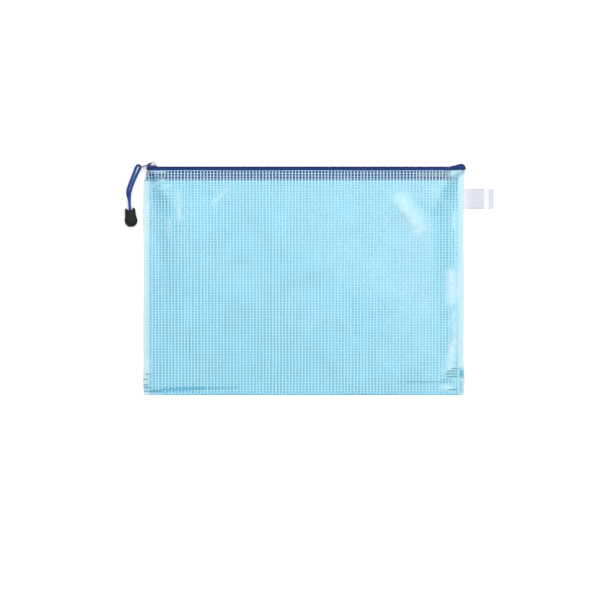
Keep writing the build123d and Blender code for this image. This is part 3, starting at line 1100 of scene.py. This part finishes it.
def thick_plate(name, outer, inner=None):
    """A plate as deep as the bridge, from an outline in X and Y, and an opening of as many points or none."""
    count = len(outer)
    loops = [outer] if inner is None else [outer, inner]
    depths = (chain_z - bridge_half, chain_z + bridge_half)
    vertices = [(x, y, z) for z in depths for loop in loops for x, y in loop]
    size = count * len(loops)
    faces = []
    for k in range(count):
        n = (k + 1) % count
        faces.append((k, n, n + size, k + size))
        if inner is not None:
            faces.append((n + count, k + count, k + count + size, n + count + size))
            faces.append((n, k, k + count, n + count))
            faces.append((k + size, n + size, n + count + size, k + count + size))
    if inner is None:
        faces.append(tuple(reversed(range(count))))
        faces.append(tuple(range(size, size + count)))
    plate = eased(add_piece(name, vertices, faces), bridge_bevel, 50, False)
    plate.data.shade_smooth()
    return plate


def half_ring(left, right, low, high):
    """An outline that stands on the plate like a gate: straight at its foot, and round at its shoulders."""
    middle_x = (left + right) / 2
    half = (right - left) / 2
    points = [(right, low)]
    for angle in np.linspace(0, math.pi, 25):
        rise = shoulder + (1 - shoulder) * math.sin(angle) ** ring_power
        points.append((middle_x + half * fuller(math.cos(angle), ring_power), low + (high - low) * rise))
    points.append((left, low))
    return points


metal = {"Metallic": 1.0}
steel_finish = mottled_finish("bright_steel", metal, (steel_shade, steel), 800.0, (0.2, 0.35), 900.0)
bridge_ramp = thick_plate("bridge_ramp", ramp_outline)
bridge_ring = thick_plate(
    "bridge_ring",
    half_ring(ring_left, ring_right, foot, ring_top),
    half_ring(ring_left + ring_wall, ring_right - ring_wall, inner_foot, ring_top - ring_wall),
)
for piece, finish in ((bridge_ramp, paint_finish), (bridge_ring, steel_finish)):
    dress([piece], finish)
    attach(piece, "slider")
    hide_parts("slider_bridge")

wire_finish = mottled_finish("dull_wire", metal, (wire_shade, wire_steel), 800.0, (0.25, 0.4), 900.0)
wire_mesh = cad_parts["pull_wire"].data
wire_mesh.materials.clear()
wire_mesh.materials.append(wire_finish)


# Pull cord: one round braided cord, doubled through the wire link, with both ends moulded into the cap.
# It hangs off the corner of the bag and lies on the table.
cord_radius = 1.5 * mm
braid_pitch = 2.6 * mm
braid_strands = 4
braid_relief = 0.16 * mm
ring_step = 0.26 * mm
cord_sides = 32
cord_blue = (0.026, 0.110, 0.46, 1)
cord_hollow_shade = (0.007, 0.030, 0.17, 1)
eye_x = -172.3 * mm
eye_y = 119.7 * mm
# Places along X and Y are from the wire's end bar, and heights are above the table, in millimetres
chain_height = chain_z / mm
cord_route = [
    (-8.9, -47.8, 3),
    (-9.4, -42.6, 2.9),
    (-10.1, -33.4, 2.4),
    (-12.9, -24.6, 2.3),
    (-8, -12, 3.3),
    (-4.9, -4.6, 4.2),
    (-1.9, 3.8, chain_height),
    (2.5, 1.9, chain_height),
    (-1.4, -5.2, 4.5),
    (-4.6, -12.2, 4.6),
    (-9, -23.6, 5),
    (-9.85, -33.3, 5.3),
    (-9.3, -42.4, 5.55),
    (-8.8, -47.6, 5.6),
]

route_points = [(eye_x + x * mm, eye_y + y * mm, z * mm) for x, y, z in cord_route]
route_data = bpy.data.curves.new("cord_route", "CURVE")
route_data.dimensions = "3D"
route_data.resolution_u = 40
spline = route_data.splines.new("NURBS")
spline.points.add(len(route_points) - 1)
for point, place in zip(spline.points, route_points):
    point.co = (*place, 1)
spline.order_u = 3
spline.use_endpoint_u = True
route = placed("cord_route", route_data)
line = bpy.data.meshes.new_from_object(route.evaluated_get(bpy.context.evaluated_depsgraph_get()))
line_points = np.array([v.co for v in line.vertices])
bpy.data.objects.remove(route)

gone = np.concatenate([[0], np.cumsum(np.linalg.norm(np.diff(line_points, axis=0), axis=1))])
rings = np.linspace(0, gone[-1], round(gone[-1] / ring_step))
smooth_line = np.stack([np.interp(rings, gone, line_points[:, k]) for k in range(3)], 1)
vertices, faces = tube(smooth_line, cord_radius, cord_sides)
angles = np.tile(np.linspace(0, 2 * math.pi, cord_sides, endpoint=False), len(rings)) * braid_strands / 2
along = np.repeat(rings, cord_sides) * 2 * math.pi / (braid_pitch * 2)
diamonds = np.abs(np.sin(angles + along) * np.sin(angles - along))
centres = np.repeat(smooth_line, cord_sides, axis=0)
outward = (np.array(vertices) - centres) / cord_radius
braided = centres + outward * (cord_radius - braid_relief * (1 - diamonds))[:, None]
cord = add_piece("braided_cord", braided, faces)
add_mark(cord.data, "crown", diamonds.astype(np.float32))

cord_finish, tree, own = new_finish("blue_braid")
# The braid's hollows between its crowns are painted darker as shade
colour = mix_colour(tree, mark_on(tree, "crown"), cord_hollow_shade, cord_blue)
gloss = add_mottle(tree, own, 600.0, 0.5, 0.75)
shade(tree, {"Base Color": colour, "Roughness": gloss, "Specular IOR Level": 0.2})
dress([cord], cord_finish)
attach(cord, "pull")
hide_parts("pull_cord")


# Pull cap: soft black plastic moulded over the cord's two ends, with a saddle at its mouth and a fuller,
# rounded lower end. Its skin has a fine grain.
cap_black = (0.005, 0.006, 0.007, 1)
cap_grey = (0.011, 0.012, 0.013, 1)
cap_bevel = 0.5 * mm

cap_finish, tree, own = new_finish("black_soft_plastic")
grain = flow(tree, "ShaderNodeTexNoise", {"Vector": own, "Scale": 2500.0, "Detail": 2.0})
cap_look = mottled_look(tree, own, (cap_black, cap_grey), 350.0, (0.42, 0.6), 700.0)
shade(tree, cap_look | {"Specular IOR Level": 0.18, "Normal": add_bump(tree, grain, 0.25, 0.1 * mm)})
cap = softened("pull_cap", "moulded_cap", cap_bevel)
dress([cap], cap_finish)
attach(cap, "pull")


# Tag: a plain pale woven tab, caught in the right weld and standing out over the table. Its free end is left
# white, and its long edges are turned and pressed.
tag_low, tag_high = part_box("label_tab")
tag_root = half_width - 5 * mm
tag_length = tag_high.x - tag_root
tag_width = tag_high.y - tag_low.y
tag_step = 0.6 * mm
tag_thickness = tag_high.z - tag_low.z
tag_clear = 0.05 * mm
tag_curl = 0.25 * mm
thread_pitch = 0.5 * mm
tag_lilac = (0.70, 0.71, 0.81, 1)
tag_rose = (0.80, 0.72, 0.86, 1)
tag_root_blue = (0.76, 0.86, 0.93, 1)
tag_white = (0.90, 0.90, 0.92, 1)
tag_hem = (0.62, 0.62, 0.64, 1)
# Where one colour goes over into the next, along X
root_x = (168 * mm, 171.5 * mm)
rose_x = (172.5 * mm, 176 * mm)
white_x = (188.6 * mm, 189 * mm)
strip_x = (193.4 * mm, 193.8 * mm)
hem_start = tag_width / 2 - 1.3 * mm
hem_edge = (hem_start, hem_start + 0.2 * mm)

x = np.linspace(tag_root, tag_high.x, round(tag_length / tag_step))
out = np.clip((x - half_width) / (tag_high.x - half_width), 0, 1)
z = tag_high.z + tag_clear + tag_curl * np.sin(out * 5.0) * out
tag_rows = [point_row(x, y, z) for y in np.linspace(tag_low.y, tag_high.y, round(tag_width / tag_step))]
tag = closed_sheet("plain_tag", np.array(tag_rows), tag_thickness)

tag_finish, tree, own = new_finish("pale_woven_tag")
place = axes(tree, own)
along = place["X"]
off_middle = calc(tree, "SUBTRACT", place["Y"], (tag_low.y + tag_high.y) / 2)
past_rose = step_over(tree, along, *rose_x)
hem = calc(tree, "MULTIPLY", step_over(tree, calc(tree, "ABSOLUTE", off_middle), *hem_edge), past_rose)
colour = mix_colour(tree, step_over(tree, along, *root_x), tag_root_blue, tag_rose)
for share, next_colour in (
    (past_rose, tag_lilac),
    (hem, tag_hem),
    (step_over(tree, along, *white_x), tag_white),
    (step_over(tree, along, *strip_x), tag_lilac),
):
    colour = mix_colour(tree, share, colour, next_colour)
threads = add_bump(tree, add_weave(tree, own, thread_pitch, thread_pitch), 0.3, 0.08 * mm)
shade(tree, {"Base Color": colour, "Roughness": 0.75, "Normal": threads})
dress([tag], tag_finish)
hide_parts("label_tab")
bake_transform(tag)
